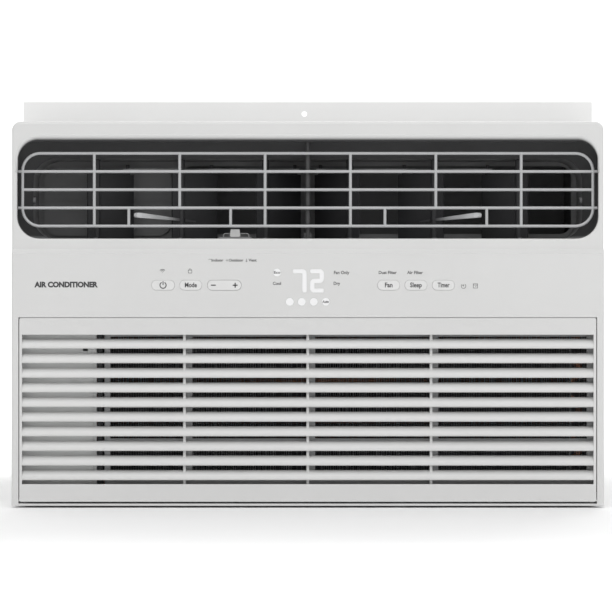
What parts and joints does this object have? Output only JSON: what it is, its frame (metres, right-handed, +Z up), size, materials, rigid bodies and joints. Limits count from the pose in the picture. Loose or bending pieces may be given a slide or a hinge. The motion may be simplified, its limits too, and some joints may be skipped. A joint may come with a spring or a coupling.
{
  "type": "window air conditioner",
  "caption": "Window air conditioner: sheet-metal cabinet, slide-out chassis, upright swinging outlet vanes behind a wire guard, push keys, lit display and tilting slatted intake grille.",
  "frame": {"origin": "middle of the footprint at the underside of the cabinet", "axes": "+Z up, -Y out of the front with the controls, +X to the right seen from the front"},
  "size_m": [0.672, 0.673, 0.469],
  "materials": {
    "panel_white": "fine moulded texture",
    "duct_dark": "moulded, matte",
    "guard_grey": "smooth paint",
    "vane_dark": "matte",
    "lever_light": "satin",
    "key_white": "satin",
    "light_white": "lit, diffuse",
    "board_green": "solder mask",
    "filter_dark": "matte",
    "mesh_dark": "fine weave",
    "cover_pale": "matte",
    "cabinet_paint": "powder coat",
    "galvanised": "spangled zinc",
    "coil_alu": "thin bare fins",
    "copper": "bare copper tube",
    "shell_black": "baked enamel",
    "rubber_black": "matte",
    "foam_dark": "expanded foam",
    "fan_dark": "matte",
    "steel_bare": "bright zinc"
  },
  "bodies": {
    "cabinet": {"cabinet_wrap": "cabinet_paint", "top_rail": "cabinet_paint", "chassis_runners": "filter_dark", "rail_screws": "steel_bare"},
    "chassis": {"front_panel": "panel_white", "outlet_duct": "duct_dark", "centre_divider": "duct_dark", "wire_guard": "guard_grey", "filter_rails": "filter_dark", "side_cover": "cover_pale", "control_board": "board_green", "control_housing": "duct_dark", "display_digits": "light_white", "status_lights": "light_white", "evaporator_coil": "coil_alu", "evaporator_bends": "copper", "condenser_coil": "coil_alu", "condenser_bends": "copper", "compressor": "shell_black", "compressor_mounts": "rubber_black", "accumulator": "shell_black", "copper_lines": "copper", "air_scroll": "foam_dark", "orifice_plate": "foam_dark", "bulkhead": "galvanised", "fan_motor": "galvanised", "motor_stand": "galvanised", "fan_shroud": "galvanised", "run_capacitor": "coil_alu", "capacitor_strap": "galvanised", "base_pan": "galvanised", "drain_plug": "rubber_black", "chassis_screws": "steel_bare", "cord_gland": "rubber_black", "sensor_bulb": "copper", "sensor_clips": "filter_dark"},
    "grille": {"intake_grille": "panel_white"},
    "filter": {"filter_frame": "filter_dark", "filter_mesh": "mesh_dark"},
    "vane_l1": {"vane_left_1": "vane_dark"},
    "vane_l2": {"vane_left_2": "vane_dark", "lever_left": "lever_light"},
    "vane_l3": {"vane_left_3": "vane_dark"},
    "vane_r1": {"vane_right_1": "vane_dark"},
    "vane_r2": {"vane_right_2": "vane_dark", "lever_right": "lever_light"},
    "vane_r3": {"vane_right_3": "vane_dark"},
    "link_l": {"link_left": "guard_grey"},
    "link_r": {"link_right": "guard_grey"},
    "rotor": {"blower_wheel": "fan_dark", "condenser_fan": "fan_dark", "fan_shaft": "steel_bare"},
    "vent_knob": {"vent_knob": "key_white"},
    "vent_door": {"vent_door": "galvanised"},
    "key_power": {"button_power": "key_white"},
    "key_mode": {"button_mode": "key_white"},
    "key_fan": {"button_fan": "key_white"},
    "key_sleep": {"button_sleep": "key_white"},
    "key_timer": {"button_timer": "key_white"},
    "rocker": {"rocker_temperature": "key_white"}
  },
  "joints": [
    {"name": "chassis_slide", "type": "slide", "parent": "cabinet", "child": "chassis", "axis": [0, -1, 0], "range_m": [0, 0.5]},
    {"name": "grille_tilt", "type": "hinge", "parent": "chassis", "child": "grille", "pos_m": [0, -0.332, 0.01], "axis": [1, 0, 0], "range_deg": [0, 70]},
    {"name": "filter_slide", "type": "slide", "parent": "chassis", "child": "filter", "axis": [1, 0, 0], "range_m": [0, 0.56]},
    {"name": "vane_left_2_swing", "type": "hinge", "parent": "chassis", "child": "vane_l2", "pos_m": [-0.14595, -0.282, 0.306], "axis": [0, 0, 1], "range_deg": [0, 100]},
    {"name": "vane_left_1_swing", "type": "hinge", "parent": "chassis", "child": "vane_l1", "pos_m": [-0.24325, -0.282, 0.306], "axis": [0, 0, 1], "range_deg": [0, 100]},
    {"name": "vane_left_3_swing", "type": "hinge", "parent": "chassis", "child": "vane_l3", "pos_m": [-0.04865, -0.282, 0.306], "axis": [0, 0, 1], "range_deg": [0, 100]},
    {"name": "vane_right_2_swing", "type": "hinge", "parent": "chassis", "child": "vane_r2", "pos_m": [0.14595, -0.282, 0.306], "axis": [0, 0, 1], "range_deg": [-100, 0]},
    {"name": "vane_right_1_swing", "type": "hinge", "parent": "chassis", "child": "vane_r1", "pos_m": [0.04865, -0.282, 0.306], "axis": [0, 0, 1], "range_deg": [-100, 0]},
    {"name": "vane_right_3_swing", "type": "hinge", "parent": "chassis", "child": "vane_r3", "pos_m": [0.24325, -0.282, 0.306], "axis": [0, 0, 1], "range_deg": [-100, 0]},
    {"name": "link_left_pin", "type": "hinge", "parent": "vane_l2", "child": "link_l", "pos_m": [-0.11224, -0.25372, 0.387], "axis": [0, 0, 1], "range_deg": [-100, 0]},
    {"name": "link_right_pin", "type": "hinge", "parent": "vane_r2", "child": "link_r", "pos_m": [0.11224, -0.25372, 0.387], "axis": [0, 0, 1], "range_deg": [0, 100]},
    {"name": "rotor_spin", "type": "hinge", "parent": "chassis", "child": "rotor", "pos_m": [0.06, -0.1, 0.185], "axis": [0, 1, 0], "continuous": true},
    {"name": "vent_door_swing", "type": "hinge", "parent": "chassis", "child": "vent_door", "pos_m": [-0.275, -0.11895, 0.37236], "axis": [1, 0, 0], "range_deg": [-15, 15]},
    {"name": "vent_knob_slide", "type": "slide", "parent": "chassis", "child": "vent_knob", "axis": [1, 0, 0], "range_m": [-0.0081, 0.0081]},
    {"name": "key_power_press", "type": "slide", "parent": "chassis", "child": "key_power", "axis": [0, 1, 0], "range_m": [0, 0.0009], "stiffness_N_per_m": 500, "springref_m": -0.0006},
    {"name": "key_mode_press", "type": "slide", "parent": "chassis", "child": "key_mode", "axis": [0, 1, 0], "range_m": [0, 0.0009], "stiffness_N_per_m": 500, "springref_m": -0.0006},
    {"name": "key_fan_press", "type": "slide", "parent": "chassis", "child": "key_fan", "axis": [0, 1, 0], "range_m": [0, 0.0009], "stiffness_N_per_m": 500, "springref_m": -0.0006},
    {"name": "key_sleep_press", "type": "slide", "parent": "chassis", "child": "key_sleep", "axis": [0, 1, 0], "range_m": [0, 0.0009], "stiffness_N_per_m": 500, "springref_m": -0.0006},
    {"name": "key_timer_press", "type": "slide", "parent": "chassis", "child": "key_timer", "axis": [0, 1, 0], "range_m": [0, 0.0009], "stiffness_N_per_m": 500, "springref_m": -0.0006},
    {"name": "rocker_tilt", "type": "hinge", "parent": "chassis", "child": "rocker", "pos_m": [-0.0945, -0.3308, 0.252], "axis": [0, 0, 1], "range_deg": [-2.5, 2.5], "stiffness_Nm_per_rad": 0.5}
  ],
  "couplings": [
    {"joint": "vane_left_1_swing", "follows": "vane_left_2_swing", "ratio": 1},
    {"joint": "vane_right_1_swing", "follows": "vane_right_2_swing", "ratio": 1},
    {"joint": "vane_left_3_swing", "follows": "vane_left_2_swing", "ratio": 1},
    {"joint": "vane_right_3_swing", "follows": "vane_right_2_swing", "ratio": 1},
    {"joint": "link_left_pin", "follows": "vane_left_2_swing", "ratio": -1},
    {"joint": "link_right_pin", "follows": "vane_right_2_swing", "ratio": -1},
    {"joint": "vent_knob_slide", "follows": "vent_door_swing", "m_per_rad": 0.030558}
  ]
}
